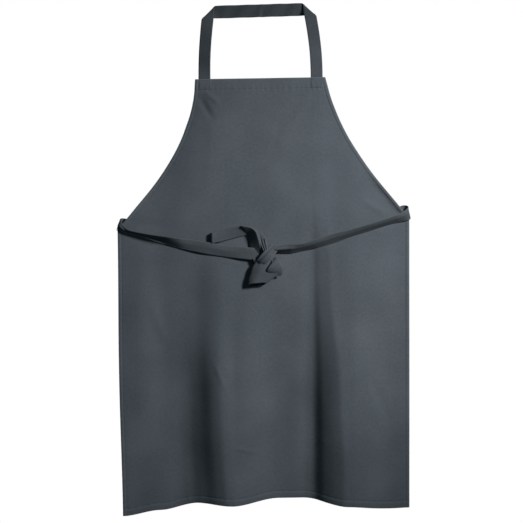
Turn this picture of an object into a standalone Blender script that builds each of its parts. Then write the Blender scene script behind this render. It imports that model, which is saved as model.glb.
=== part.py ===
"""A cloth bib apron, hanging by its neck loop, with its waist ties knotted in front.

Units are metres. +Z is up, the front faces -Y and +X is on the right of someone who
looks at the front. The origin is the underside of the neck strap's level stretch,
where a peg, a hanger or a neck carries the apron.
"""

import math

import bpy
from mathutils import Vector

# Cloth, tape and thread
CLOTH = 0.0010
HEM_THICK = 0.0022
TAPE = 0.0016
TAPE_WIDTH = 0.0265
THREAD = 0.0008
GAP = 0.0003
SEAM_INSET = 0.008
TACK_INSET = 0.002

# The neck strap: two legs, a level crown behind them, and a mitre fold at each corner
STRAP_FOLD_RADIUS = 0.0026
CROWN_SLOPE = 0.031
STRAP_FOOT_Z = -0.172
LEFT_LEG_FOOT = (-0.1295, STRAP_FOOT_Z)
RIGHT_LEG_FOOT = (0.1277, STRAP_FOOT_Z)
LEFT_LEG_LEAN = 0.044
RIGHT_LEG_LEAN = -0.088
LEFT_LEG_BOW = -0.0035
RIGHT_LEG_BOW = 0.0055
LEG_Y = -2 * STRAP_FOLD_RADIUS

# The panel
PANEL_FRONT_Y = LEG_Y - TAPE / 2 - GAP - HEM_THICK
TOP_Z = -0.1435
TOP_SLOPE = 0.0168
TOP_LEFT_X = -0.151
TOP_RIGHT_X = 0.147
WAIST_LEFT = (-0.329, -0.473)
WAIST_RIGHT = (0.339, -0.443)
WAIST_SLOPE = (WAIST_RIGHT[1] - WAIST_LEFT[1]) / (WAIST_RIGHT[0] - WAIST_LEFT[0])
CORNER_Z = WAIST_LEFT[1] - WAIST_SLOPE * WAIST_LEFT[0]
FOLD_ABOVE_CORNERS = 0.016
FOLD_Z = CORNER_Z + FOLD_ABOVE_CORNERS
HEM_LEFT_X = -0.317
HEM_RIGHT_X = 0.340
TOP_HEM = 0.023
BOTTOM_HEM = 0.015
HEM_STEP = 0.001

# The bottom edge, from left to right
HEM_LINE = (
    (-0.317, -1.149),
    (-0.232, -1.136),
    (-0.140, -1.119),
    (-0.065, -1.123),
    (0.040, -1.107),
    (0.095, -1.107),
    (0.200, -1.122),
    (0.300, -1.128),
    (0.340, -1.127),
)

# The skirt's hanging folds at the hem: where each ridge or valley is, and how deep
FOLDS = (
    (-0.330, -0.020),
    (-0.150, 0.018),
    (-0.075, -0.020),
    (0.065, 0.016),
    (0.240, -0.020),
    (0.345, -0.010),
)
FOLDS_START_Z = -0.46
FOLDS_FULL_Z = -0.95

# Room for a fold of 150 degrees: half of each gap, for a slab of the given half thickness
FOLD_LIMIT = math.radians(150)
HEM_HINGE_RISE = 0.009
WAIST_HALF_GAP = CLOTH / 2 / math.tan((math.pi - FOLD_LIMIT) / 2) + GAP / 2
STRAP_HALF_GAP = TAPE / 2 / math.tan((math.pi - FOLD_LIMIT) / 2) + GAP / 2

# The waist ties
TIE_BACK_Y = PANEL_FRONT_Y + CLOTH + GAP + TAPE / 2
TIE_WRAP_RADIUS = 0.0028
TIE_SEWN = 0.030
TIE_WRAP_REACH = 0.0015
TIE_JOIN_GAP = 0.0040
KNOT = (0.0115, -0.0170, -0.5440)
KNOT_RADII = (0.0130, 0.0075, 0.0135)
LEFT_TIE_ROUTE = (
    (-0.278, -0.0135, -0.499),
    (-0.230, -0.0135, -0.513),
    (-0.159, -0.0135, -0.526),
    (-0.090, -0.0140, -0.535),
    (-0.003, -0.0145, -0.546),
)
RIGHT_TIE_ROUTE = (
    (0.299, -0.0135, -0.469),
    (0.239, -0.0135, -0.489),
    (0.159, -0.0135, -0.513),
    (0.090, -0.0140, -0.530),
    (0.026, -0.0145, -0.539),
)
TAIL_BASE = (-0.0135, -0.0195, -0.5290)
TAIL_RISE = 0.040
TAIL_RUN = 0.090
TAIL_LEAN = math.radians(5)
TAIL_FOLD_RADIUS = 0.003
TAIL_RISE_ANGLE = math.radians(117)
TAIL_RUN_ANGLE = math.radians(193)
LOOP_TOP = (0.004, -0.0210, -0.5625)
LOOP_BOTTOM = (-0.002, -0.0225, -0.6220)
LOOP_TOP_RADII = (0.010, 0.004)
LOOP_BOTTOM_RADII = (0.020, 0.009)
SHORT_TAIL = ((0.024, -0.0190, -0.5560), (0.047, -0.0200, -0.5790))
SHORT_TAIL_WIDTH = 0.022

GREY_CLOTH = (0.070, 0.085, 0.100, 1.0)
GREY_TAPE = (0.055, 0.067, 0.080, 1.0)
GREY_THREAD = (0.090, 0.105, 0.120, 1.0)


def material(name, colour, roughness):
    made = bpy.data.materials.new(name)
    made.use_nodes = True
    shader = made.node_tree.nodes["Principled BSDF"]
    shader.inputs["Base Color"].default_value = colour
    shader.inputs["Roughness"].default_value = roughness
    shader.inputs["Metallic"].default_value = 0.0
    return made


def lerp(a, b, t):
    return a + (b - a) * t


def smooth(t):
    t = min(max(t, 0.0), 1.0)
    return t * t * (3 - 2 * t)


def between(points, x):
    """The value at x of a line that eases from each (x, value) point to the next."""
    if x <= points[0][0]:
        return points[0][1]
    for (xa, a), (xb, b) in zip(points, points[1:]):
        if x <= xb:
            return lerp(a, b, smooth((x - xa) / (xb - xa)))
    return points[-1][1]


# Solids


def new_object(name, vertices, faces, look):
    mesh = bpy.data.meshes.new(name)
    mesh.from_pydata(vertices, [], faces)
    mesh.materials.append(look)
    mesh.update()
    made = bpy.data.objects.new(name, mesh)
    bpy.context.scene.collection.objects.link(made)
    return made


def grid_normals(grid):
    """A unit normal at each point of a grid, facing -Y on a panel that runs +X and down."""
    rows, columns = len(grid), len(grid[0])
    normals = []
    for i in range(rows):
        line = []
        for j in range(columns):
            down = grid[min(i + 1, rows - 1)][j] - grid[max(i - 1, 0)][j]
            across = grid[i][min(j + 1, columns - 1)] - grid[i][max(j - 1, 0)]
            line.append(down.cross(across).normalized())
        normals.append(line)
    return normals


def slab(name, grid, front, back, look):
    """A closed sheet over a grid of points, from `front` before them to `back` behind.

    front and back are distances along the normal, or lists with one for each row.
    """
    rows, columns = len(grid), len(grid[0])
    fronts = front if isinstance(front, list) else [front] * rows
    backs = back if isinstance(back, list) else [back] * rows
    normals = grid_normals(grid)
    vertices = []
    for sides, sign in ((fronts, 1), (backs, -1)):
        for i in range(rows):
            for j in range(columns):
                vertices.append(grid[i][j] + normals[i][j] * sides[i] * sign)
    behind = rows * columns

    def at(i, j):
        return i * columns + j

    faces = []
    for i in range(rows - 1):
        for j in range(columns - 1):
            a, b, c, d = at(i, j), at(i + 1, j), at(i + 1, j + 1), at(i, j + 1)
            faces.append((a, b, c, d))
            faces.append((behind + d, behind + c, behind + b, behind + a))
    rim = [at(0, j) for j in range(columns)]
    rim += [at(i, columns - 1) for i in range(1, rows)]
    rim += [at(rows - 1, j) for j in range(columns - 2, -1, -1)]
    rim += [at(i, 0) for i in range(rows - 2, 0, -1)]
    for a, b in zip(rim, rim[1:] + rim[:1]):
        faces.append((a, b, behind + b, behind + a))
    return new_object(name, vertices, faces, look)


def bead(name, points, look):
    """A round thread through the points, as a curve with closed ends."""
    curve = bpy.data.curves.new(name, "CURVE")
    curve.dimensions = "3D"
    curve.bevel_depth = THREAD / 2
    curve.bevel_resolution = 1
    curve.use_fill_caps = True
    curve.materials.append(look)
    spline = curve.splines.new("POLY")
    spline.points.add(len(points) - 1)
    for target, point in zip(spline.points, points):
        target.co = (*point, 1.0)
    made = bpy.data.objects.new(name, curve)
    bpy.context.scene.collection.objects.link(made)
    return made


def ribbon(name, centres, width, look):
    """A flat tape through the centres, its width standing upright across its run."""
    grid = []
    for i, centre in enumerate(centres):
        run = centres[min(i + 1, len(centres) - 1)] - centres[max(i - 1, 0)]
        up = Vector((0.0, 1.0, 0.0)).cross(run).normalized()
        if up.z < 0:
            up = -up
        grid.append([centre + up * width / 2, centre - up * width / 2])
    if (grid[-1][0] - grid[0][0]).x < 0:
        grid = [line[::-1] for line in grid]
    turned = [list(line) for line in zip(*grid)]
    return slab(name, turned, TAPE / 2, TAPE / 2, look)


def in_front(point, normal, clear):
    """A thread's centre where it lies on a face that is `clear` before the point."""
    return point + normal * (clear + GAP + THREAD / 2)


# The panel's outline


def top_z(x):
    return TOP_Z + TOP_SLOPE * x


def fold_z(x):
    return FOLD_Z + WAIST_SLOPE * x


def hem_z(x):
    return between(HEM_LINE, x)


def left_edge_x(z):
    """The left armhole's curve down to the waist corner, then the side's slight lean."""
    top = top_z(TOP_LEFT_X)
    if z > WAIST_LEFT[1]:
        s = (top - z) / (top - WAIST_LEFT[1])
        s = min(max(s, 0.0), 1.0)
        return lerp(TOP_LEFT_X, WAIST_LEFT[0], 0.30 * s + 0.62 * s**2.5 + 0.08 * s**14)
    s = (WAIST_LEFT[1] - z) / (WAIST_LEFT[1] - hem_z(HEM_LEFT_X))
    return lerp(WAIST_LEFT[0], HEM_LEFT_X, min(s, 1.0) ** 2)


def right_edge_x(z):
    """The right armhole is a little flatter than the left, and its side hangs plumb."""
    top = top_z(TOP_RIGHT_X)
    if z > WAIST_RIGHT[1]:
        s = (top - z) / (top - WAIST_RIGHT[1])
        s = min(max(s, 0.0), 1.0)
        return lerp(TOP_RIGHT_X, WAIST_RIGHT[0], 0.45 * s + 0.43 * s**2.5 + 0.12 * s**14)
    s = (WAIST_RIGHT[1] - z) / (WAIST_RIGHT[1] - hem_z(HEM_RIGHT_X))
    return lerp(WAIST_RIGHT[0], HEM_RIGHT_X, min(s, 1.0))


def front_y(x, z):
    """The panel's front face: flat in the bib, with folds that deepen to the hem."""
    depth = smooth((FOLDS_START_Z - z) / (FOLDS_START_Z - FOLDS_FULL_Z))
    return PANEL_FRONT_Y + depth * between(FOLDS, x)


def panel_row(line, columns):
    """The front face's points along one row, whose height at x is line(x)."""
    left, right = TOP_LEFT_X, TOP_RIGHT_X
    for _ in range(12):
        left = left_edge_x(line(left))
        right = right_edge_x(line(right))
    inner = [lerp(left + SEAM_INSET, right - SEAM_INSET, k / columns) for k in range(columns + 1)]
    return [Vector((x, front_y(x, line(x)), line(x))) for x in [left, *inner, right]]


def bib_lines(count):
    """The bib's rows from the top edge to just above the waist fold, as heights over x."""
    lines = [top_z, lambda x: top_z(x) - TOP_HEM]
    for k in range(count + 1):
        share = k / count
        lines.append(
            lambda x, t=share: lerp(
                top_z(x) - TOP_HEM - HEM_STEP, fold_z(x) + WAIST_HALF_GAP, t
            )
        )
    return lines


def skirt_lines(count):
    """The skirt's rows from just below the waist fold to the bottom edge."""
    lines = [
        lambda x: fold_z(x) - WAIST_HALF_GAP,
        lambda x: fold_z(x) - 0.009,
    ]
    for k in range(count + 1):
        share = k / count
        lines.append(
            lambda x, t=share: lerp(
                fold_z(x) - FOLD_ABOVE_CORNERS, hem_z(x) + BOTTOM_HEM + HEM_STEP, t
            )
        )
    lines += [lambda x: hem_z(x) + BOTTOM_HEM, hem_z]
    return lines


# The pieces


def bib(cloth, thread):
    lines = bib_lines(9)
    grid = [panel_row(line, 12) for line in lines]
    normals = grid_normals(grid)
    thick = [HEM_THICK, HEM_THICK] + [CLOTH] * (len(lines) - 2)
    slab("bib_panel", grid, 0.0, thick, cloth)
    hem = [in_front(p, n, 0.0) for p, n in zip(grid[1], normals[1])]
    bead("top_hem_stitching", hem[1:-1], thread)
    for name, column in (("left_armhole_stitching", 1), ("right_armhole_stitching", -2)):
        seam = [in_front(grid[i][column], normals[i][column], 0.0) for i in range(2, len(grid) - 1)]
        bead(name, seam, thread)


def skirt(cloth, thread):
    lines = skirt_lines(11)
    grid = [panel_row(line, 26) for line in lines]
    normals = grid_normals(grid)
    thick = [CLOTH] * (len(lines) - 2) + [HEM_THICK, HEM_THICK]
    slab("skirt_panel", grid, 0.0, thick, cloth)
    for name, column in (("left_side_stitching", 1), ("right_side_stitching", -2)):
        seam = [in_front(grid[i][column], normals[i][column], 0.0) for i in range(4, len(grid) - 2)]
        bead(name, seam, thread)
    hem = [in_front(p, n, 0.0) for p, n in zip(grid[-2], normals[-2])]
    bead("bottom_hem_stitching", hem[1:-1], thread)


class Fold:
    """A tape that runs along `run`, folds over a line through `point` and leaves along `out`.

    Everything is in a plane of (x, z). Past the line the tape turns round a cylinder of
    the given radius, so that it comes to lie 2 radii behind, towards +Y if behind is 1.
    """

    def __init__(self, point, run, out, radius, behind):
        self.point, self.run, self.radius, self.behind = point, run, radius, behind
        self.side = Vector((run[1], -run[0]))
        self.crease = (run + out).normalized()
        past = Vector((-self.crease[1], self.crease[0]))
        self.past = past if past.dot(run) > 0 else -past

    def at(self, s, t):
        """The tape's point s past the fold's middle and t to its right: (x, z), y."""
        flat = self.run * s + self.side * t
        over = flat.dot(self.past)
        along = flat.dot(self.crease)
        turn = min(max(over / self.radius, 0.0), math.pi)
        straight = over if over < 0 else -max(over - math.pi * self.radius, 0.0)
        reach = straight + self.radius * math.sin(turn)
        y = self.behind * self.radius * (1 - math.cos(turn))
        place = self.point + self.crease * along + self.past * reach
        return place, y


def strap_fold(foot, lean, outward):
    """The mitre fold between a leg and the crown, with the length of leg below it."""
    run = Vector((lean, 1.0)).normalized()
    out = Vector((1.0, CROWN_SLOPE)).normalized() * outward
    middle = Vector((0.0, TAPE_WIDTH / 2))
    foot = Vector(foot)
    # where the leg's centreline meets the crown's, and how far the turn lifts the crown
    offset = middle - foot
    length = (offset.x * out.y - offset.y * out.x) / (run.x * out.y - run.y * out.x)
    fold = Fold(foot, run, out, STRAP_FOLD_RADIUS, 1)
    lift = math.pi * STRAP_FOLD_RADIUS * fold.past
    drop = (lift.x * out.y - lift.y * out.x) / (run.x * out.y - run.y * out.x)
    leg = length - drop
    fold.point = foot + run * leg
    return fold, leg


def strap_point(fold, leg, bow, s, t):
    """A point of half the strap: s from the foot of its leg, t across."""
    place, y = fold.at(s - leg, t)
    share = min(max(s / leg, 0.0), 1.0)
    return Vector((place.x + bow * math.sin(math.pi * share), LEG_Y + y, place.y))


def hinge_z(x):
    return top_z(x) + HEM_HINGE_RISE


def crown_s(fold, leg):
    """The distance along a half strap from its foot to the middle of the crown."""
    low, high = leg, leg + 0.3
    for _ in range(40):
        middle = (low + high) / 2
        place, _y = fold.at(middle - leg, 0.0)
        if place.x * fold.point.x > 0:
            low = middle
        else:
            high = middle
    return (low + high) / 2


def half_strap_grid(fold, leg, bow, columns):
    """Rows across half the strap, from above the hem's hinge to the crown's middle."""
    start = (hinge_z(fold.point.x) + STRAP_HALF_GAP - STRAP_FOOT_Z) / fold.run.y
    end = crown_s(fold, leg)
    near, far = leg - TAPE_WIDTH * 0.6, leg + TAPE_WIDTH * 0.6 + math.pi * STRAP_FOLD_RADIUS
    stations = [lerp(start, near, k / 6) for k in range(6)]
    stations += [lerp(near, far, k / 16) for k in range(16)]
    stations += [lerp(far, end, k / 4) for k in range(5)]
    half = TAPE_WIDTH / 2
    across = [lerp(-half, half, k / columns) for k in range(columns + 1)]
    return [[strap_point(fold, leg, bow, s, t) for t in across] for s in stations]


def neck_strap(tape, thread):
    left = strap_fold(LEFT_LEG_FOOT, LEFT_LEG_LEAN, 1)
    right = strap_fold(RIGHT_LEG_FOOT, RIGHT_LEG_LEAN, -1)
    columns = 4
    up = half_strap_grid(*left, LEFT_LEG_BOW, columns)
    down = half_strap_grid(*right, RIGHT_LEG_BOW, columns)
    down = [line[::-1] for line in down[::-1]]
    grid = up + down[1:]
    slab("neck_strap", grid, TAPE / 2, TAPE / 2, tape)
    normals = grid_normals(grid)
    # behind the legs and before the crown, and clear of the hinges where the legs bend
    path = [in_front(line[1], normal[1], TAPE / 2) for line, normal in zip(grid, normals)]
    bead("neck_strap_stitching", path[1:-1], thread)
    for side, (fold, leg), bow in (("left", left, LEFT_LEG_BOW), ("right", right, RIGHT_LEG_BOW)):
        strap_end(side, fold, leg, bow, tape, thread)


def strap_end(side, fold, leg, bow, tape, thread):
    """The end of the strap behind the top hem, and the tack that holds it."""
    hem_foot = top_z(fold.point.x) - TOP_HEM + TACK_INSET / 2
    heights = (hem_foot, hinge_z(fold.point.x) - STRAP_HALF_GAP)
    half = TAPE_WIDTH / 2
    centre = [
        strap_point(fold, leg, bow, (z - STRAP_FOOT_Z) / fold.run.y, 0.0) for z in heights
    ]
    ends = [
        [c + Vector((-half, 0.0, 0.0)), c + Vector((half, 0.0, 0.0))] for c in centre[::-1]
    ]
    slab(f"{side}_strap_end", ends, TAPE / 2, TAPE / 2, tape)
    z = top_z(centre[0].x) - TOP_HEM + 2 * TACK_INSET
    y = PANEL_FRONT_Y - GAP - THREAD / 2
    reach = half - TACK_INSET
    tack = [Vector((centre[0].x + dx, y, z + TOP_SLOPE * dx)) for dx in (-reach, reach)]
    bead(f"{side}_strap_tack", tack, thread)


def tie_end(side, corner, outward, first, tape, thread):
    """The sewn end of a waist tie: behind the waist corner, round its edge, to the front."""
    corner = Vector(corner)
    run = Vector((outward, 0.0))
    out = (Vector((first[0], first[2])) - corner).normalized()
    edge = corner + Vector((outward * TIE_WRAP_REACH, -0.004))
    fold = Fold(edge, run, out, TIE_WRAP_RADIUS, -1)
    stations = [-TIE_SEWN, -0.012]
    stations += [lerp(-0.005, 0.014, k / 9) for k in range(10)]
    stations += [0.020]
    half = TAPE_WIDTH / 2
    grid = []
    for s in stations:
        line = []
        for t in (-half, -half / 2, 0.0, half / 2, half):
            place, y = fold.at(s, t)
            line.append(Vector((place.x, TIE_BACK_Y + y, place.y)))
        grid.append(line)
    turned = [list(line) for line in zip(*grid)]
    if outward > 0:
        turned = [line[::-1] for line in turned]
    slab(f"{side}_tie_end", turned, TAPE / 2, TAPE / 2, tape)
    x = edge.x - outward * (TIE_SEWN - 2 * TACK_INSET)
    y = TIE_BACK_Y + TAPE / 2 + GAP + THREAD / 2
    reach = half - TACK_INSET
    tack = [Vector((x, y, edge.y + dz)) for dz in (-reach, reach)]
    bead(f"{side}_tie_tack", tack, thread)
    middle, y = fold.at(stations[-1] + TIE_JOIN_GAP, 0.0)
    return Vector((middle.x, TIE_BACK_Y + y, middle.y))


def waist_tie(side, start, route, tape, thread):
    """The free length of a tie, from the corner to the knot, with its edge stitching."""
    centres = [start] + [Vector(p) for p in route]
    ribbon(f"{side}_waist_tie", centres, TAPE_WIDTH, tape)
    reach = TAPE_WIDTH / 2 - TACK_INSET
    path = [
        in_front(c + Vector((0.0, 0.0, -reach)), Vector((0.0, -1.0, 0.0)), TAPE / 2)
        for c in centres[:-1]
    ]
    bead(f"{side}_tie_stitching", path, thread)


def knot(tape):
    """The knot, as one rounded lump."""
    rings, sides = 7, 14
    centre = Vector(KNOT)
    vertices = [centre + Vector((0.0, 0.0, KNOT_RADII[2]))]
    for i in range(1, rings):
        polar = math.pi * i / rings
        for j in range(sides):
            turn = 2 * math.pi * j / sides
            x = KNOT_RADII[0] * math.sin(polar) * math.cos(turn)
            y = KNOT_RADII[1] * math.sin(polar) * math.sin(turn)
            vertices.append(centre + Vector((x, y, KNOT_RADII[2] * math.cos(polar))))
    vertices.append(centre - Vector((0.0, 0.0, KNOT_RADII[2])))
    last = len(vertices) - 1
    faces = []
    for j in range(sides):
        k = (j + 1) % sides
        faces.append((0, 1 + j, 1 + k))
        faces.append((last, last - sides + k, last - sides + j))
        for i in range(rings - 2):
            a, b = 1 + i * sides, 1 + (i + 1) * sides
            faces.append((a + j, b + j, b + k, a + k))
    new_object("tie_knot", vertices, faces, tape)


def tail(tape, thread):
    """The long loose end: up out of the knot, folded over, then to the left."""
    run = Vector((math.cos(TAIL_RISE_ANGLE), math.sin(TAIL_RISE_ANGLE)))
    out = Vector((math.cos(TAIL_RUN_ANGLE), math.sin(TAIL_RUN_ANGLE)))
    fold = Fold(run * TAIL_RISE, run, out, TAIL_FOLD_RADIUS, 1)
    reach = TAPE_WIDTH * 0.7
    stations = [-TAIL_RISE + 0.016, -reach]
    stations += [lerp(-reach, reach + math.pi * TAIL_FOLD_RADIUS, k / 12) for k in range(1, 13)]
    stations += [TAIL_RUN]
    half = TAPE_WIDTH / 2
    base = Vector(TAIL_BASE)
    grid = []
    for s in stations:
        line = []
        for t in (-half, -half / 2, 0.0, half / 2, half):
            place, y = fold.at(s, t)
            forward = Vector((0.0, math.cos(TAIL_LEAN), math.sin(TAIL_LEAN)))
            up = Vector((0.0, -math.sin(TAIL_LEAN), math.cos(TAIL_LEAN)))
            line.append(base + Vector((place.x, 0.0, 0.0)) + up * place.y + forward * y)
        grid.append(line)
    slab("tie_tail", grid, TAPE / 2, TAPE / 2, tape)
    normals = grid_normals(grid)
    end = [in_front(p, -n, TAPE / 2) for p, n in zip(grid[-1], normals[-1])]
    inward = (grid[-2][2] - grid[-1][2]).normalized() * 0.010
    bead("tie_tail_stitching", [p + inward for p in end[1:-1]], thread)


def bow_loop(tape):
    """The small loop under the knot, as a solid of its outer shape."""
    sides = 16
    vertices = []
    for centre, radii in ((LOOP_TOP, LOOP_TOP_RADII), (LOOP_BOTTOM, LOOP_BOTTOM_RADII)):
        for j in range(sides):
            turn = 2 * math.pi * j / sides
            offset = Vector((radii[0] * math.cos(turn), radii[1] * math.sin(turn), 0.0))
            vertices.append(Vector(centre) + offset)
    faces = [tuple(range(sides)), tuple(range(2 * sides - 1, sides - 1, -1))]
    for j in range(sides):
        k = (j + 1) % sides
        faces.append((j, sides + j, sides + k, k))
    new_object("bow_loop", vertices, faces, tape)


def short_tail(tape, thread):
    """The other tie's end, which shows beside the loop."""
    start, end = Vector(SHORT_TAIL[0]), Vector(SHORT_TAIL[1])
    ribbon("short_tie_tail", [start, end], SHORT_TAIL_WIDTH, tape)
    run = (end - start).normalized()
    up = Vector((0.0, 1.0, 0.0)).cross(run).normalized() * (SHORT_TAIL_WIDTH / 2 - TACK_INSET)
    middle = end - run * 0.008 - Vector((0.0, TAPE / 2 + GAP + THREAD / 2, 0.0))
    bead("short_tail_stitching", [middle - up, middle + up], thread)


def main():
    for old in list(bpy.data.objects):
        bpy.data.objects.remove(old)
    cloth = material("grey_twill", GREY_CLOTH, 0.9)
    tape = material("grey_tape", GREY_TAPE, 0.9)
    thread = material("grey_thread", GREY_THREAD, 0.6)
    bib(cloth, thread)
    skirt(cloth, thread)
    neck_strap(tape, thread)
    left = tie_end("left", WAIST_LEFT, -1, LEFT_TIE_ROUTE[0], tape, thread)
    right = tie_end("right", WAIST_RIGHT, 1, RIGHT_TIE_ROUTE[0], tape, thread)
    waist_tie("left", left, LEFT_TIE_ROUTE, tape, thread)
    waist_tie("right", right, RIGHT_TIE_ROUTE, tape, thread)
    knot(tape)
    tail(tape, thread)
    bow_loop(tape)
    short_tail(tape, thread)


main()
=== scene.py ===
"""The looks of a charcoal twill bib apron that hangs by its neck strap, ties knotted in front.

Metres, +Z up, the front faces -Y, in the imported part's frame. The outline, the strap's
folds and the ties' routes repeat the part's own numbers, and the cloth is made from them
as fine meshes with turned hems, folds, creases and single stitches.
"""

import math

import bpy
import numpy as np
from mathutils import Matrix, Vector


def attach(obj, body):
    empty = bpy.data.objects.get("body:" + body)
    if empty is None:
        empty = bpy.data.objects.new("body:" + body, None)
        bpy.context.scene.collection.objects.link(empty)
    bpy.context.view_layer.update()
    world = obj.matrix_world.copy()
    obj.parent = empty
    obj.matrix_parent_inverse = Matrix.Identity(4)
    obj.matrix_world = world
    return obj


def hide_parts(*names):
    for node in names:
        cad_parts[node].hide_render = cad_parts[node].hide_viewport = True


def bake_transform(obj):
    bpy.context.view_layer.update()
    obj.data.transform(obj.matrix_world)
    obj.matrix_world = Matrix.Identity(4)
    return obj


# Cloth, tape and thread
CLOTH = 0.0009
TAPE = 0.0016
TAPE_WIDTH = 0.0265
STITCH = 0.0026
STITCH_GAP = 0.0008
STITCH_RADIUS = 0.00036
CLOTH_COLOUR = (0.0695, 0.0860, 0.1025)
TAPE_COLOUR = (0.0540, 0.0660, 0.0790)
THREAD_COLOUR = (0.068, 0.082, 0.097)
CLOTH_RIB = 0.0011
TAPE_RIB = 0.0009

# The neck strap, as in the part
STRAP_FOLD_RADIUS = 0.0026
CROWN_SLOPE = 0.031
STRAP_FOOT_Z = -0.172
LEFT_LEG = {"foot": (-0.1295, STRAP_FOOT_Z), "lean": 0.044, "bow": -0.0035, "out": 1, "twist": 18.0}
RIGHT_LEG = {"foot": (0.1277, STRAP_FOOT_Z), "lean": -0.088, "bow": 0.0055, "out": -1, "twist": -5.0}
LEG_Y = -2 * STRAP_FOLD_RADIUS
# how far the level stretch's top edge tips forward, for its height
CROWN_TIP = 0.45
CROWN_WAVE = 0.0012
LEG_WAVE = 0.0005
STRAP_COLUMNS = 13

# The panel's outline, as in the part
PANEL_FRONT_Y = -0.0085
TOP_Z = -0.1435
TOP_SLOPE = 0.0168
TOP_LEFT_X = -0.151
TOP_RIGHT_X = 0.147
# Both armholes' curves, from the top hem to the waist corners, which the ties cover
LEFT_ARMHOLE = (
    (-0.1510, -0.1460),
    (-0.1541, -0.1852),
    (-0.1622, -0.2220),
    (-0.1722, -0.2519),
    (-0.1834, -0.2818),
    (-0.1978, -0.3117),
    (-0.2151, -0.3416),
    (-0.2346, -0.3715),
    (-0.2565, -0.4014),
    (-0.2806, -0.4313),
    (-0.3055, -0.4623),
    (-0.3290, -0.4880),
)
RIGHT_ARMHOLE = (
    (0.1470, -0.1410),
    (0.1595, -0.1852),
    (0.1737, -0.2220),
    (0.1872, -0.2519),
    (0.2030, -0.2818),
    (0.2215, -0.3117),
    (0.2415, -0.3416),
    (0.2634, -0.3715),
    (0.2875, -0.4014),
    (0.3125, -0.4313),
    (0.3400, -0.4650),
)
HEM_LINE = (
    (-0.317, -1.149),
    (-0.232, -1.136),
    (-0.140, -1.119),
    (-0.065, -1.123),
    (0.040, -1.107),
    (0.095, -1.107),
    (0.200, -1.122),
    (0.300, -1.128),
    (0.340, -1.127),
)

# The hems: how wide each is, and how far its turned cloth stands out
TOP_HEM = 0.023
BOTTOM_HEM = 0.015
SIDE_HEM = 0.0078
HEM_TURN = 0.0010
HEM_PUFF = 0.00055
GROOVE = 0.00035
PUCKER = 0.00022
PUCKER_STEP = 0.013


# Arithmetic


def lerp(a, b, t):
    return a + (b - a) * t


def smooth(t):
    t = np.clip(t, 0.0, 1.0)
    return t * t * (3 - 2 * t)


def between(z, top, ease_in, bottom, ease_out):
    """1 between two heights and 0 beyond them, easing over the given distances inside."""
    return smooth((top - z) / ease_in) * smooth((z - bottom) / ease_out)


def unit(v):
    return v / np.maximum(np.linalg.norm(v, axis=-1, keepdims=True), 1e-12)


def eased(points, at):
    """The value at each place of a line that eases from each (place, value) point to the next."""
    places, values = np.array(points, float).T
    k = np.clip(np.searchsorted(places, at) - 1, 0, len(places) - 2)
    t = smooth((at - places[k]) / (places[k + 1] - places[k]))
    return lerp(values[k], values[k + 1], t)


def through(points, count):
    """Rows evenly spaced along a smooth curve through rows of numbers that start x, y, z."""
    p = np.array(points, float)
    p = np.vstack([2 * p[0] - p[1], p, 2 * p[-1] - p[-2]])
    u = np.linspace(0, len(points) - 1, 40 * len(points))
    k = np.minimum(u.astype(int), len(points) - 2)
    t = (u - k)[:, None]
    a, b, c, d = p[k], p[k + 1], p[k + 2], p[k + 3]
    line = 0.5 * (
        2 * b + (c - a) * t + (2 * a - 5 * b + 4 * c - d) * t**2 + (3 * b - a - 3 * c + d) * t**3
    )
    run = np.concatenate([[0.0], np.cumsum(np.linalg.norm(np.diff(line[:, :3], axis=0), axis=1))])
    even = np.linspace(0.0, run[-1], count)
    return np.stack([np.interp(even, run, line[:, i]) for i in range(line.shape[1])], axis=1)


def nearest(values, wanted):
    """The index of the value that is nearest to the one that is wanted."""
    return int(np.argmin(np.abs(values - wanted)))


def cumulative(grid, axis):
    """How far each point of a grid is from the first, along one axis of the grid."""
    steps = np.linalg.norm(np.diff(grid, axis=axis), axis=-1)
    start = np.zeros_like(np.take(steps, [0], axis=axis))
    return np.concatenate([start, np.cumsum(steps, axis=axis)], axis=axis)


def grid_normals(grid):
    """A unit normal at each point of a grid, facing -Y on a panel that runs +X and down."""
    down = np.gradient(grid, axis=0)
    across = np.gradient(grid, axis=1)
    return unit(np.cross(down, across))


# Materials


TWILL_TURN = 27.0
# How much each unevenness of the cloth changes its tone, which is near 1
DYE_CONTRAST = 0.50
LINT_CONTRAST = 0.34
GRAIN_CONTRAST = 0.30
WEAR_LIGHTENS = 0.30
# What the colour is multiplied by where the cloth has faded
FADED = (1.14, 1.05, 1.00)
FADE_SHARE = 0.9


def new_look(name, roughness, gloss):
    """A new material, its node tree and its shader."""
    made = bpy.data.materials.new(name)
    made.use_nodes = True
    shader = made.node_tree.nodes["Principled BSDF"]
    shader.inputs["Roughness"].default_value = roughness
    shader.inputs["Specular IOR Level"].default_value = gloss
    return made, made.node_tree, shader


def new_node(tree, kind, inputs, **settings):
    """A new shader node, whose inputs are set to values or joined to other nodes' outputs."""
    node = tree.nodes.new(f"ShaderNode{kind}")
    for name, value in settings.items():
        setattr(node, name, value)
    for name, value in inputs.items():
        if isinstance(value, bpy.types.NodeSocket):
            tree.links.new(value, node.inputs[name])
        else:
            node.inputs[name].default_value = value
    return node


def noise(tree, place, scale, detail):
    inputs = {"Vector": place, "Scale": scale, "Detail": detail}
    return new_node(tree, "TexNoise", inputs).outputs["Fac"]


def ribs(tree, place, turn, step, distortion):
    """Bands a given step apart, turned by some degrees."""
    turned = new_node(tree, "Mapping", {"Vector": place, "Rotation": (0.0, 0.0, math.radians(turn))})
    # the node's bands are a twentieth of a turn apart at scale 1
    inputs = {"Scale": 2 * math.pi / (20 * step), "Distortion": distortion, "Detail": 1.0}
    return new_node(tree, "TexWave", {"Vector": turned.outputs["Vector"], **inputs}).outputs["Fac"]


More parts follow.
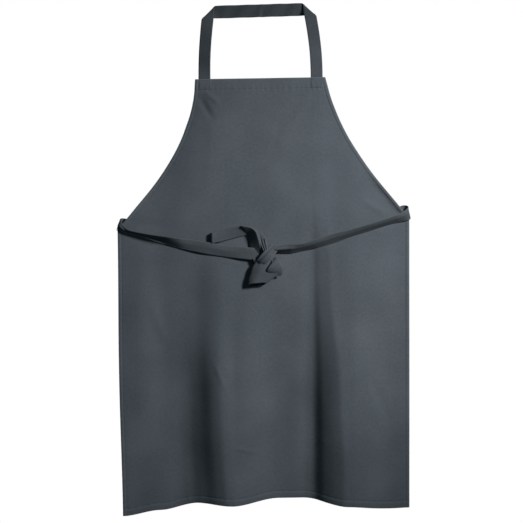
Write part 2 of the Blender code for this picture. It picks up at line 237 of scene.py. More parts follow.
def math_node(tree, operation, a, b):
    return new_node(tree, "Math", {0: a, 1: b}, operation=operation).outputs["Value"]


def mixed(tree, blend, factor, a, b):
    inputs = {"Factor": factor, "A": a, "B": b}
    return new_node(tree, "Mix", inputs, data_type="RGBA", blend_type=blend).outputs["Result"]


def weighted(tree, a, weight_a, b, weight_b):
    """The sum of two values, each times its weight."""
    first = math_node(tree, "MULTIPLY", a, weight_a)
    return math_node(tree, "ADD", first, math_node(tree, "MULTIPLY", b, weight_b))


def cloth_tone(tree, parts):
    """What the colour is multiplied by: lighter where worn, and uneven by each part's contrast."""
    wear = new_node(tree, "Attribute", {}, attribute_name="wear")
    tone = math_node(tree, "MULTIPLY", wear.outputs["Fac"], WEAR_LIGHTENS)
    for part, contrast in parts:
        off = math_node(tree, "SUBTRACT", part, 0.5)
        tone = math_node(tree, "ADD", tone, math_node(tree, "MULTIPLY", off, contrast))
    return math_node(tree, "ADD", tone, 1.0)


def cloth_look(name, colour, rib, contrast):
    """Twill: fine slanting ribs, uneven dye, lint, and wear where the mesh says that it rubs."""
    made, tree, shader = new_look(name, 0.88, 0.15)
    shader.inputs["Sheen Weight"].default_value = 0.03
    shader.inputs["Sheen Roughness"].default_value = 0.55
    place = new_node(tree, "UVMap", {}, uv_map="cloth").outputs["UV"]
    twill = ribs(tree, place, TWILL_TURN, rib, 0.6)
    yarn = ribs(tree, place, 0.0, rib * 0.8, 0.4)
    weave = weighted(tree, twill, 0.7, yarn, 0.3)
    dye = noise(tree, place, 9.0, 4.0)
    patches = noise(tree, place, 4.5, 3.0)
    lint = noise(tree, place, 160.0, 3.0)
    grain = noise(tree, place, 420.0, 2.0)
    faded = [c * f for c, f in zip(colour, FADED)]
    share = math_node(tree, "MULTIPLY", patches, FADE_SHARE)
    base = mixed(tree, "MIX", share, (*colour, 1.0), (*faded, 1.0))
    parts = ((dye, DYE_CONTRAST), (lint, LINT_CONTRAST), (grain, GRAIN_CONTRAST), (weave, contrast))
    tinted = mixed(tree, "MULTIPLY", 1.0, base, cloth_tone(tree, parts))
    tree.links.new(tinted, shader.inputs["Base Color"])
    height = weighted(tree, weave, 0.6, grain, 0.5)
    bump = new_node(tree, "Bump", {"Strength": 0.5, "Distance": 0.0003, "Height": height})
    tree.links.new(bump.outputs["Normal"], shader.inputs["Normal"])
    return made


def thread_look(name, colour):
    """Sewing thread: twisted strands with a slight gloss."""
    made, tree, shader = new_look(name, 0.55, 0.35)
    place = new_node(tree, "TexCoord", {}).outputs["Object"]
    strands = new_node(tree, "TexNoise", {"Vector": place, "Scale": 1400.0}).outputs["Fac"]
    ramp = new_node(tree, "ValToRGB", {"Fac": strands})
    for element, tone in zip(ramp.color_ramp.elements, (0.7, 1.25)):
        element.color = (*[c * tone for c in colour], 1.0)
    tree.links.new(ramp.outputs["Color"], shader.inputs["Base Color"])
    return made


# Meshes


# How far a sheet's rim bulges, for its thickness, and how much more worn the rim is
EDGE_ROUNDNESS = 0.5
EDGE_WEAR = 0.4
SHARP_ANGLE = math.radians(70)


def new_object(name, data):
    made = bpy.data.objects.new(name, data)
    bpy.context.scene.collection.objects.link(made)
    return made


def new_mesh(name, vertices, faces, look, uv=None, wear=None):
    mesh = bpy.data.meshes.new(name)
    mesh.from_pydata(vertices.tolist(), [], faces)
    mesh.materials.append(look)
    if uv is not None:
        layer = mesh.uv_layers.new(name="cloth")
        corner = np.empty(len(mesh.loops), np.int32)
        mesh.loops.foreach_get("vertex_index", corner)
        layer.data.foreach_set("uv", uv[corner].astype(np.float32).ravel())
    if wear is not None:
        rubbed = mesh.attributes.new("wear", "FLOAT", "POINT")
        rubbed.data.foreach_set("value", wear.astype(np.float32))
    mesh.shade_smooth()
    mesh.set_sharp_from_angle(angle=SHARP_ANGLE)
    mesh.update()
    return new_object(name, mesh)


def closed_sheet(name, front, back, uv, look, wear):
    """A closed sheet between two grids of points, with rounded edges."""
    rows, columns = front.shape[:2]
    index = np.arange(rows * columns).reshape(rows, columns)
    count = rows * columns
    i, j = np.divmod(index, columns)
    rim = np.concatenate([index[0], index[1:, -1], index[-1, -2::-1], index[-2:0:-1, 0]])
    inner = index[np.clip(i, 1, rows - 2), np.clip(j, 1, columns - 2)].ravel()[rim]
    f, b = front.reshape(-1, 3), back.reshape(-1, 3)
    thick = np.linalg.norm(f[rim] - b[rim], axis=1, keepdims=True)
    ring = (f[rim] + b[rim]) / 2 + unit(f[rim] - f[inner]) * thick * EDGE_ROUNDNESS
    vertices = np.vstack([f, b, ring])
    flat = [index[:-1, :-1], index[1:, :-1], index[1:, 1:], index[:-1, 1:]]
    faces = np.stack([q.ravel() for q in flat], axis=1)
    behind = faces[:, ::-1] + count
    here, after = rim, np.roll(rim, -1)
    middle = 2 * count + np.arange(len(rim))
    middle_after = np.roll(middle, -1)
    sides = np.vstack([
        np.stack([here, after, middle_after, middle], axis=1),
        np.stack([middle, middle_after, after + count, here + count], axis=1),
    ])
    faces = np.vstack([faces, behind, sides]).tolist()
    flat_uv = uv.reshape(-1, 2)
    all_uv = np.vstack([flat_uv, flat_uv, flat_uv[rim]])
    rubbed = wear.ravel()
    all_wear = np.concatenate([rubbed, rubbed, rubbed[rim] + EDGE_WEAR])
    return new_mesh(name, vertices, faces, look, all_uv, all_wear)


def tape_piece(name, grid, look, thickness=TAPE):
    """A folded tape over a grid whose rows run along it and whose columns cross it."""
    normals = grid_normals(grid)
    uv = np.stack([cumulative(grid, 1), cumulative(grid, 0)], axis=-1)
    edge = np.broadcast_to(np.abs(np.linspace(-1, 1, grid.shape[1])) ** 6, grid.shape[:2])
    half = thickness / 2 * (1 - 0.25 * edge)[..., None]
    made = closed_sheet(name, grid + normals * half, grid - normals * half, uv, look, edge * 0.5)
    return made


STITCH_SIDES = 6
# Along a stitch: the place, from its middle, then how thick it is and how far it is raised
STITCH_PROFILE = (
    (-0.5, 0.25, -0.5),
    (-0.38, 0.85, 0.35),
    (0.0, 1.0, 0.75),
    (0.38, 0.85, 0.35),
    (0.5, 0.25, -0.5),
)


def add_stitch(vertices, faces, centre, up):
    """Adds one stitch along its middle line of points."""
    side = unit(np.cross(unit(centre[-1] - centre[0]), up))
    base = len(vertices)
    for point, (_, size, lift) in zip(centre, STITCH_PROFILE):
        for k in range(STITCH_SIDES):
            turn = 2 * math.pi * k / STITCH_SIDES
            ring = side * math.cos(turn) + up * math.sin(turn)
            vertices.append(point + up * STITCH_RADIUS * lift + ring * STITCH_RADIUS * size)
    last = base + (len(STITCH_PROFILE) - 1) * STITCH_SIDES
    for start in range(base, last, STITCH_SIDES):
        for k in range(STITCH_SIDES):
            a, b = start + k, start + (k + 1) % STITCH_SIDES
            faces.append((a, b, b + STITCH_SIDES, a + STITCH_SIDES))
    faces.append(tuple(base + k for k in reversed(range(STITCH_SIDES))))
    faces.append(tuple(last + k for k in range(STITCH_SIDES)))


def stitches(name, lines, look):
    """Single stitches along lines of points, each given with the normals of its cloth."""
    places = STITCH * (np.array([p[0] for p in STITCH_PROFILE]) + 0.5)
    vertices, faces = [], []
    for points, normals in lines:
        run = cumulative(points[None], 1)[0]
        for start in np.arange(0.0, run[-1] - STITCH, STITCH + STITCH_GAP):
            centre = np.stack([np.interp(start + places, run, points[:, k]) for k in range(3)], axis=1)
            up = unit(np.array([np.interp(start, run, normals[:, k]) for k in range(3)]))
            add_stitch(vertices, faces, centre, up)
    made = new_mesh(name, np.array(vertices), faces, look)
    return made


def seam_line(grid, normals, part, lift=0.0, face=1):
    """Some of a grid's points, lifted off its front or its back, and the normals there."""
    facing = face * normals[part]
    return grid[part] + facing * lift, facing


# The panel


def top_z(x):
    return TOP_Z + TOP_SLOPE * x


def hem_z(x):
    return eased(HEM_LINE, x)


def outline_side(armhole, corner):
    """A side edge's points downwards: the armhole's curve, then straight past the hem's corner."""
    curve = through([(x, z, 0.0) for x, z in armhole], 200)[:, :2]
    return np.vstack([curve, [(corner[0], corner[1] - 0.01)]])


LEFT_SIDE = outline_side(LEFT_ARMHOLE, HEM_LINE[0])
RIGHT_SIDE = outline_side(RIGHT_ARMHOLE, HEM_LINE[-1])


# The left side hem bows out a little below the waist
SIDE_BOW = 0.0030


def left_edge_x(z):
    bow = SIDE_BOW * between(z, -0.50, 0.3, -1.13, 0.3)
    return np.interp(-z, -LEFT_SIDE[:, 1], LEFT_SIDE[:, 0]) - bow


def right_edge_x(z):
    return np.interp(-z, -RIGHT_SIDE[:, 1], RIGHT_SIDE[:, 0])


# How the skirt's front leans from left to right at the hem: each place, and the slope there.
# A negative slope faces left. Above the hem the leans keep their order but draw together.
HEM_SLOPES = (
    (-0.340, -0.16),
    (-0.290, -0.02),
    (-0.240, 0.06),
    (-0.200, 0.02),
    (-0.165, -0.20),
    (-0.140, -0.58),
    (-0.114, -0.80),
    (-0.090, -0.52),
    (-0.068, -0.05),
    (-0.050, 0.18),
    (-0.010, 0.22),
    (0.040, 0.12),
    (0.090, -0.04),
    (0.112, -0.30),
    (0.134, -1.12),
    (0.150, -0.74),
    (0.180, -0.58),
    (0.200, -0.10),
    (0.225, 0.16),
    (0.270, 0.18),
    (0.320, 0.08),
    (0.345, 0.00),
)
HEM_MIDDLE_Y = -0.012
FOLD_STEPS = 700

# How the two deep folds fade upwards: by the distance below the origin, each one's strength,
# the place of its middle, and how wide it is against the hem's
LEFT_FOLD = {
    "at": -0.112,
    "strength": ((0.20, 0.05), (0.45, 0.06), (0.68, 0.20), (0.90, 0.85), (1.00, 1.0)),
    "middle": ((0.30, -0.142), (0.70, -0.132), (0.95, -0.122), (1.12, -0.112)),
    "width": ((0.40, 1.5), (0.85, 1.0)),
}
RIGHT_FOLD = {
    "at": 0.140,
    "strength": ((0.28, 0.02), (0.42, 0.12), (0.56, 0.50), (0.75, 0.74), (0.95, 0.98)),
    "middle": ((0.35, 0.124), (0.60, 0.131), (0.85, 0.138), (1.00, 0.140)),
    "width": ((0.40, 0.45), (0.60, 0.55), (0.90, 0.9), (1.05, 1.0)),
}

# Creases: both ends (x, z), half width, and how far the cloth stands out along them
CREASES = (
    ((-0.290, -0.486), (-0.215, -0.474), 0.006, -0.0012),
    ((-0.300, -0.470), (-0.225, -0.452), 0.007, 0.0010),
    ((-0.071, -0.990), (0.004, -1.003), 0.004, 0.0012),
    ((0.126, -0.972), (0.156, -0.980), 0.005, 0.0004),
    ((-0.112, -0.785), (-0.076, -0.870), 0.005, 0.0010),
    ((-0.148, -0.176), (-0.106, -0.245), 0.007, -0.0020),
    ((-0.136, -0.170), (-0.088, -0.205), 0.005, 0.0014),
    ((0.120, -0.172), (0.060, -0.260), 0.010, 0.0012),
    ((0.050, -0.230), (0.020, -0.330), 0.010, -0.0008),
    ((0.300, -0.462), (0.225, -0.420), 0.008, 0.0012),
    ((0.240, -0.800), (0.300, -0.950), 0.010, -0.0010),
    ((-0.260, -0.640), (-0.215, -0.760), 0.012, 0.0012),
)


def crease(x, z, start, end, width, height):
    """A soft ridge along a line, fading out at both ends."""
    (ax, az), (bx, bz) = start, end
    length = math.hypot(bx - ax, bz - az)
    along = ((x - ax) * (bx - ax) + (z - az) * (bz - az)) / length**2
    aside = ((x - ax) * (bz - az) - (z - az) * (bx - ax)) / length
    fade = smooth(along / 0.35) * smooth((1 - along) / 0.35)
    return height * fade * np.exp(-((aside / width) ** 2))


def ripple(x, z):
    """Faint unevenness: long shallow waves that run mostly up and down."""
    rng = np.random.default_rng(11)
    total = np.zeros_like(x)
    for _ in range(14):
        across = rng.uniform(25.0, 90.0)
        down = rng.uniform(-12.0, 12.0)
        total += np.sin(across * x + down * z + rng.uniform(0, 6.28)) * 0.018 / across
    return total


def summed(places, slopes):
    """Heights along a row of evenly spaced places, from the slope at each."""
    step = places[1] - places[0]
    return np.concatenate([[0.0], np.cumsum((slopes[1:] + slopes[:-1]) / 2 * step)])


def fold_profiles():
    """The hem's places, and its left fold, right fold and the rest as depths that add up to it."""
    places = np.linspace(-0.36, 0.36, FOLD_STEPS)
    slopes = eased(HEM_SLOPES, np.clip(places, HEM_SLOPES[0][0], HEM_SLOPES[-1][0]))
    slopes = slopes - slopes.mean() * 0.85
    folds = []
    for fold in (LEFT_FOLD, RIGHT_FOLD):
        off = np.abs(places - fold["at"])
        own = summed(places, slopes * (1 - smooth((off - 0.045) / 0.035)))
        folds.append(own - own[-1] * smooth((places - fold["at"]) / 0.32 + 0.5))
    whole = summed(places, slopes)
    rest = whole - folds[0] - folds[1]
    return places, folds[0], folds[1], rest - (whole.max() + whole.min()) / 2


# How far back the bib hangs behind a flat sheet, by the distance below the origin
BIB_LEAN = ((0.150, 0.0), (0.235, 0.0085), (0.430, 0.0))
# The right armhole's hem curls forward near the waist, where the tie pulls at it
CURL = 0.0045
CURL_WIDTH = 0.020
# How far the bib's left part leans beyond the line where it was once pressed, for its width
PRESSED_LEAN = 0.05


def curled_hem(x, z):
    near = smooth(1 - (right_edge_x(z) - x) / CURL_WIDTH)
    return CURL * near * between(z, -0.345, 0.06, -0.462, 0.02)


def pressed_line(x, z):
    """The bib's left part turns a little aside along an old line of folding."""
    off = x - lerp(-0.116, -0.126, smooth((-0.2 - z) / 0.3))
    turned = PRESSED_LEAN * (np.sqrt(off * off + 0.004**2) - off)
    turned -= 0.03 * np.exp(-off * off / 0.02**2) * off
    return turned * between(z, -0.155, 0.06, -0.455, 0.10)


def panel_y(x, z):
    """The panel's front face."""
    depth = -z
    places, left, right, rest = fold_profiles()
    y = PANEL_FRONT_Y + eased(BIB_LEAN, depth)
    y += (HEM_MIDDLE_Y - PANEL_FRONT_Y) * smooth((depth - 0.50) / 0.55)
    y += np.interp(x, places, rest) * smooth((depth - 0.42) / 0.60)
    for fold, shape in ((LEFT_FOLD, left), (RIGHT_FOLD, right)):
        width = eased(fold["width"], depth)
        there = fold["at"] + (x - eased(fold["middle"], depth)) / width
        y += np.interp(there, places, shape) * width * eased(fold["strength"], depth)
    y += pressed_line(x, z) - curled_hem(x, z)
    for line in CREASES:
        y -= crease(x, z, *line)
    return y + ripple(x, z) * (0.35 + 0.65 * smooth((depth - 0.15) / 0.6))


def hem_wave(run):
    """The small, uneven puckers that a row of stitches draws into a hem."""
    uneven = 1.3 * np.sin(run * 57.0) + 0.8 * np.sin(run * 139.0)
    return np.sin(2 * math.pi * run / PUCKER_STEP + uneven)


def hem_shape(distance, width, run):
    """How far the front stands out, and how much cloth is turned behind, near a hem."""
    share = np.clip(distance / width, 0.0, 1.0)
    out = HEM_PUFF * np.sin(math.pi * share) ** 0.7
    out -= GROOVE * np.exp(-(((distance - width) / 0.0009) ** 2))
    out += PUCKER * np.exp(-(((distance - width) / 0.006) ** 2)) * hem_wave(run)
    turned = 1 - smooth((distance - width - 0.0005) / 0.0012)
    return out, turned


# The places of the grid's lines near each edge, close together where the hem is sewn
SIDE_STEPS = np.array([0.0, 0.5, 1.4, 2.8, 4.4, 5.9, 6.9, 7.5, 8.1, 8.8, 10.0, 12.5, 16.0]) / 1000
TOP_STEPS = np.array([0.0, 0.6, 1.6, 3.5, 7.0, 11.0, 15.0, 19.0, 21.5, 22.5, 23.0, 23.6, 24.6, 27.0])
TOP_STEPS /= 1000
BOTTOM_STEPS = np.array([19.0, 16.5, 15.6, 15.0, 14.5, 13.5, 11.0, 8.0, 5.0, 2.5, 0.9, 0.0]) / 1000
INNER_ROWS = 236
INNER_COLUMNS = 156


def panel_rows():
    """Each row's height over x, from the top edge to the bottom one."""
    rows = [lambda x, d=d: top_z(x) - d for d in TOP_STEPS]
    for k in range(1, INNER_ROWS):
        share = k / INNER_ROWS
        rows.append(lambda x, t=share: lerp(top_z(x) - TOP_STEPS[-1], hem_z(x) + BOTTOM_STEPS[0], t))
    rows += [lambda x, d=d: hem_z(x) + d for d in BOTTOM_STEPS]
    return rows


def edge_lean(edge, z):
    """How much longer a level step is than one square to a side edge."""
    slope = (edge(z + 0.001) - edge(z - 0.001)) / 0.002
    return math.sqrt(1 + slope * slope)


def panel_grid():
    """The front face's points, as x and z, and each one's distance from the nearest side edge."""
    rows = panel_rows()
    xs, distances = [], []
    for line in rows:
        left, right = TOP_LEFT_X, TOP_RIGHT_X
        for _ in range(12):
            left = left_edge_x(line(left))
            right = right_edge_x(line(right))
        by_left = SIDE_STEPS * edge_lean(left_edge_x, line(left))
        by_right = SIDE_STEPS * edge_lean(right_edge_x, line(right))
        inner = np.linspace(left + by_left[-1], right - by_right[-1], INNER_COLUMNS + 1)[1:-1]
        xs.append(np.concatenate([left + by_left, inner, (right - by_right)[::-1]]))
        away = np.full(len(inner), 1.0)
        distances.append(np.concatenate([SIDE_STEPS, away, SIDE_STEPS[::-1]]))
    x = np.array(xs)
    z = np.array([line(row) for line, row in zip(rows, xs)])
    return x, z, np.array(distances)


def panel_faces():
    """The panel's front and back grids, its cloth coordinates and its wear."""
    x, z, side = panel_grid()
    y = panel_y(x, z)
    from_top = top_z(x) - z
    from_bottom = z - hem_z(x)
    total, turned, wear = np.zeros_like(x), np.zeros_like(x), np.zeros_like(x)
    hems = ((side, SIDE_HEM, z), (from_top, TOP_HEM, x), (from_bottom, BOTTOM_HEM, x))
    for distance, width, run in hems:
        out, behind = hem_shape(distance, width, run)
        total += out
        turned = np.maximum(turned, behind)
        wear = np.maximum(wear, np.exp(-((distance / 0.0012) ** 2)))
        wear = np.maximum(wear, 0.35 * np.exp(-(((distance - width + 0.002) / 0.0015) ** 2)))
    total += strap_print(x, z)
    front = np.stack([x, y - total, z], axis=-1)
    normals = grid_normals(front)
    thick = CLOTH + HEM_TURN * turned
    back = front - normals * thick[..., None]
    u, v = cumulative(front, 1), cumulative(front, 0)
    middle = front.shape[1] // 2
    uv = np.stack([u - u[:, [middle]], -np.broadcast_to(v[:, [middle]], u.shape)], axis=-1)
    return front, back, uv, wear, normals


def strap_print(x, z):
    """The strap's sewn ends push the top hem out a little where they lie behind it."""
    total = np.zeros_like(x)
    for leg in (LEFT_LEG, RIGHT_LEG):
        foot = leg["foot"][0]
        across = 1 - smooth((np.abs(x - foot) - TAPE_WIDTH / 2 + 0.001) / 0.002)
        below = 1 - smooth((top_z(x) - z - TOP_HEM + 0.001) / 0.002)
        total += 0.0006 * across * below
    return total


def bend_at(piece):
    """A piece that passes from one body to the next; this only bakes its placement into its mesh."""
    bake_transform(piece)


def waist_blend(piece):
    bend_at(piece)


def make_panel(cloth, thread):
    front, back, uv, wear, normals = panel_faces()
    panel = closed_sheet("apron_panel", front, back, uv, cloth, wear)
    waist_blend(panel)
    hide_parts("bib_panel", "skirt_panel")
    panel_seams(front, normals, thread)


def panel_seams(front, normals, thread):
    """The hems' single stitches, each seam standing for its part of the same name."""
    side = nearest(SIDE_STEPS, SIDE_HEM)
    top = nearest(TOP_STEPS, TOP_HEM)
    bottom = front.shape[0] - len(BOTTOM_STEPS) + nearest(BOTTOM_STEPS, BOTTOM_HEM)
    left = nearest(front[:, 0, 2], LEFT_ARMHOLE[-1][1])
    right = nearest(front[:, -1, 2], RIGHT_ARMHOLE[-1][1])
    seams = (
        ("top_hem", np.s_[top, 2:-2], "bib"),
        ("left_armhole", np.s_[top + 1 : left, side], "waist"),
        ("right_armhole", np.s_[top + 1 : right, -1 - side], "waist"),
        ("left_side", np.s_[left + 2 : bottom, side], "skirt"),
        ("right_side", np.s_[right + 2 : bottom, -1 - side], "skirt"),
        ("bottom_hem", np.s_[bottom, 2:-2], "skirt"),
    )
    for name, part, body in seams:
        seam = stitches(f"{name}_seam", [seam_line(front, normals, part)], thread)
        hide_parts(f"{name}_stitching")
        if body == "waist":
            waist_blend(seam)
        else:
            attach(seam, body)


# The neck strap


class Fold:
    """A tape that runs along `run`, folds over a line through `point` and leaves along `out`.

    Everything is in a plane of (x, z). Past the line the tape turns round a cylinder of
    the given radius, so that it comes to lie 2 radii behind.
    """

    def __init__(self, point, run, out, radius):
        self.point, self.run, self.radius = point, run, radius
        self.side = Vector((run[1], -run[0]))
        self.crease = (run + out).normalized()
        past = Vector((-self.crease[1], self.crease[0]))
        self.past = past if past.dot(run) > 0 else -past

    def at(self, s, t):
        """The tape's point s past the fold's middle and t to its right: (x, z), y."""
        flat = self.run * s + self.side * t
        over = flat.dot(self.past)
        along = flat.dot(self.crease)
        turn = min(max(over / self.radius, 0.0), math.pi)
        straight = over if over < 0 else -max(over - math.pi * self.radius, 0.0)
        reach = straight + self.radius * math.sin(turn)
        place = self.point + self.crease * along + self.past * reach
        return place, self.radius * (1 - math.cos(turn))


def strap_fold(leg):
    """The mitre fold between a leg and the crown, with the length of leg below it."""
    run = Vector((leg["lean"], 1.0)).normalized()
    out = Vector((1.0, CROWN_SLOPE)).normalized() * leg["out"]
    foot = Vector(leg["foot"])
    offset = Vector((0.0, TAPE_WIDTH / 2)) - foot
    square = run.x * out.y - run.y * out.x
    length = (offset.x * out.y - offset.y * out.x) / square
    fold = Fold(foot, run, out, STRAP_FOLD_RADIUS)
    lift = math.pi * STRAP_FOLD_RADIUS * fold.past
    below = length - (lift.x * out.y - lift.y * out.x) / square
    fold.point = foot + run * below
    return fold, below


def strap_point(fold, below, leg, s, t):
    """A point of half the strap, with its bow, its slight twist and its soft waves."""
    place, y = fold.at(s - below, t)
    share = min(max(s / below, 0.0), 1.0)
    hold = math.sin(math.pi * share)
    x = place.x + leg["bow"] * hold
    twist = math.tan(math.radians(leg["twist"])) * hold * hold
    y += LEG_Y - twist * t - CROWN_TIP * leg["out"] * smooth((s - below - 0.004) / 0.03) * t
    past = max(s - below - TAPE_WIDTH, 0.0)
    y -= CROWN_WAVE * min(past / 0.02, 1.0) * math.sin(past * 130.0 - t * 90.0)
    y -= LEG_WAVE * hold * math.sin(s * 95.0 + t * 60.0)
    return (x, y, place.y)


def crown_s(fold, below):
    """The distance along a half strap from its foot to the middle of the crown."""
    low, high = below, below + 0.3
    for _ in range(40):
        middle = (low + high) / 2
        place, _y = fold.at(middle - below, 0.0)
        if place.x * fold.point.x > 0:
            low = middle
        else:
            high = middle
    return (low + high) / 2


def half_strap(leg, rows=46, columns=STRAP_COLUMNS):
    """Half the strap's middle surface, from its sewn foot to the middle of the crown."""
    fold, below = strap_fold(leg)
    end = crown_s(fold, below)
    across = np.linspace(-TAPE_WIDTH / 2, TAPE_WIDTH / 2, columns)
    start = (top_z(leg["foot"][0]) - TOP_HEM + 0.001 - STRAP_FOOT_Z) / fold.run.y
    near, far = below - TAPE_WIDTH * 0.6, below + TAPE_WIDTH * 0.6 + math.pi * STRAP_FOLD_RADIUS
    stations = np.concatenate([
        np.linspace(start, near, rows, endpoint=False),
        np.linspace(near, far, rows, endpoint=False),
        np.linspace(far, end, rows),
    ])
    return np.array([[strap_point(fold, below, leg, s, t) for t in across] for s in stations])


def strap_blend(piece):
    bend_at(piece)


def make_strap(tape, thread):
    up = half_strap(LEFT_LEG)
    down = half_strap(RIGHT_LEG)[::-1, ::-1]
    middle = (up[-1] + down[0]) / 2
    grid = np.concatenate([up[:-1], middle[None], down[1:]])
    strap = tape_piece("neck_strap_tape", grid, tape)
    strap_blend(strap)
    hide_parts("neck_strap", "left_strap_end", "right_strap_end")
    normals = grid_normals(grid)
    lines = []
    for column in (1, -2):
        for face in (1, -1):
            lines.append(seam_line(grid, normals, np.s_[8:-8, column], TAPE / 2, face))
    seam = stitches("neck_strap_seam", lines, thread)
    strap_blend(seam)
    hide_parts("neck_strap_stitching")
    strap_tacks(thread)


# How far below the top edge the stitched box of a strap's end begins and ends
STRAP_TACK = (0.0025, 0.0195)


def strap_tacks(thread):
    """The stitched box that holds each strap end behind the top hem."""
    for side, leg in (("left", LEFT_LEG), ("right", RIGHT_LEG)):
        foot = leg["foot"][0]
        reach = TAPE_WIDTH / 2 - 0.0015
        lines = []
        for below in STRAP_TACK:
            x = np.linspace(foot - reach, foot + reach, 24)
            lines.append(tack_line(x, top_z(x) - below))
        for edge in (-reach, reach):
            z = top_z(foot) - np.linspace(*STRAP_TACK, 20)
            lines.append(tack_line(np.full(20, foot + edge), z))
        tack = stitches(f"{side}_strap_box", lines, thread)
        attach(tack, "bib")
        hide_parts(f"{side}_strap_tack")


def tack_line(x, z):
    """Points just proud of the top hem's front, and their normals."""
    out, _ = hem_shape(top_z(x) - z, TOP_HEM, x)
    y = panel_y(x, z) - out - strap_print(x, z)
    points = np.stack([x, y, z], axis=1)
    return points, np.tile((0.0, -1.0, 0.0), (len(x), 1))


# The ties. Each station is x, y, z, how far forward the lower and the upper strip of the tape
# tip, on each side of its crease, how far its top leans to the right, all three in degrees,
# and how much of its width shows, the rest being drawn up in small pleats
LEFT_TIE = (
    (-0.2960, -0.0048, -0.4830, 0, 0, 12, 1.0),
    (-0.3100, -0.0040, -0.4795, 0, 0, 17, 1.0),
    (-0.3195, 0.0005, -0.4778, 0, 0, 21, 1.0),
    (-0.3262, -0.0055, -0.4785, 2, 0, 22, 1.0),
    (-0.3255, -0.0128, -0.4825, 24, -5, 20, 0.92),
    (-0.3180, -0.0140, -0.4875, 56, -8, 12, 0.75),
    (-0.3060, -0.0152, -0.4943, 66, 44, 4, 0.58),
    (-0.2830, -0.0160, -0.4999, 66, 62, 0, 0.58),
    (-0.2530, -0.0182, -0.5070, 62, 62, 0, 0.76),
    (-0.2210, -0.0193, -0.5140, 55, 54, 0, 0.95),
    (-0.1910, -0.0176, -0.5207, 44, 34, 0, 1.0),
    (-0.1590, -0.0145, -0.5265, 22, 8, 0, 1.0),
    (-0.0900, -0.0145, -0.5385, 14, -4, 0, 1.0),
    (-0.0276, -0.0185, -0.5451, 4, 0, 0, 1.0),
    (0.0050, -0.0175, -0.5475, 0, 0, 0, 1.0),
)
RIGHT_TIE = (
    (0.3050, -0.0048, -0.4600, 0, 0, -10, 1.0),
    (0.3200, -0.0042, -0.4512, 0, 0, -14, 1.0),
    (0.3300, -0.0002, -0.4480, 0, 0, -16, 1.0),
    (0.3382, -0.0060, -0.4500, 2, 0, -17, 1.0),
    (0.3375, -0.0135, -0.4550, 22, -2, -18, 1.0),
    (0.3290, -0.0168, -0.4595, 38, 4, -12, 0.95),
    (0.3150, -0.0180, -0.4645, 52, 24, -6, 0.92),
    (0.3013, -0.0184, -0.4688, 57, 38, 0, 0.92),
    (0.2737, -0.0190, -0.4778, 59, 44, 0, 0.95),
    (0.2406, -0.0193, -0.4886, 58, 44, 0, 1.0),
    (0.1978, -0.0190, -0.5014, 56, 38, 0, 1.0),
    (0.1587, -0.0174, -0.5126, 48, 18, 0, 1.0),
    (0.1242, -0.0178, -0.5223, 55, 28, 0, 1.0),
    (0.0897, -0.0184, -0.5318, 60, 42, 0, 1.0),
    (0.0598, -0.0182, -0.5345, 58, -20, 0, 1.0),
    (0.0322, -0.0190, -0.5371, 60, -50, 0, 1.0),
    (0.0120, -0.0195, -0.5400, 40, -20, 0, 1.0),
)
# Where each tie's crease is, from its middle, as a share of its width
LEFT_CREASE = 0.10
RIGHT_CREASE = 0.16
TIE_PLEAT = 0.0012
# How far outward from a tie's first station its stitched box begins and ends
TIE_TACK = (0.003, 0.017)


def section(bottom, top, shown, crease_at, columns):
    """A tape's section, as how high and how far forward each column is from its middle."""
    t = np.linspace(-0.5, 0.5, 6 * columns - 5)
    tip = lerp(bottom[:, None], top[:, None], smooth((t - crease_at) / 0.10 + 0.5)[None, :])
    step = TAPE_WIDTH * shown[:, None] * (t[1] - t[0])
    high = np.cumsum(np.cos(tip) * step, axis=1)
    ahead = np.cumsum(np.sin(tip) * step, axis=1)
    high -= (high[:, :1] + high[:, -1:]) / 2
    ahead -= (ahead.max(axis=1, keepdims=True) + ahead.min(axis=1, keepdims=True)) / 2
    return high[:, ::6], ahead[:, ::6]


def tie_grid(stations, rightward, crease_at, rows=190, columns=17):
    """A tie's middle surface from its stations, as rows along it."""
    line = through(stations, rows)
    centre, slant = line[:, :3], np.radians(line[:, 5])
    tips, shown = np.radians(line[:, 3:5]), line[:, 6]
    high, ahead = section(tips[:, 0], tips[:, 1], shown, crease_at, columns)
    run = unit(np.gradient(centre, axis=0))
    up = np.stack([np.sin(slant), np.zeros(rows), np.cos(slant)], axis=1)
    up = unit(up - run * np.sum(up * run, axis=1, keepdims=True))
    outward = unit(np.cross(run, up)) * (1 if rightward else -1)
    along = cumulative(centre[None], 1)[0]
    t = np.linspace(-0.5, 0.5, columns)
    sway = 0.0004 * np.sin(along * 70.0)[:, None] * np.cos(t * 5.0)[None, :]
    sway = sway + TIE_PLEAT * (1 - shown)[:, None] * np.sin(t * 6 * math.pi)[None, :]
    grid = centre[:, None] + up[:, None] * high[..., None]
    grid = grid + outward[:, None] * (ahead + sway)[..., None]
    return (grid if rightward else grid[:, ::-1]), centre


def make_tie(side, stations, rightward, crease_at, tape, thread):
    grid, centre = tie_grid(stations, rightward, crease_at)
    tie = tape_piece(f"{side}_tie_tape", grid, tape)
    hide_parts(f"{side}_tie_end", f"{side}_waist_tie")
    normals = grid_normals(grid)
    lines = []
    column = 1 if rightward else -2
    for face in (1, -1):
        lines.append(seam_line(grid, normals, np.s_[6:-14, column], TAPE * 0.42, face))
    seam = stitches(f"{side}_tie_seam", lines, thread)
    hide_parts(f"{side}_tie_stitching")
    for piece in (tie, seam):
        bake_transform(piece)
    tie_tack(side, stations[0], thread)
    return tie, seam, centre


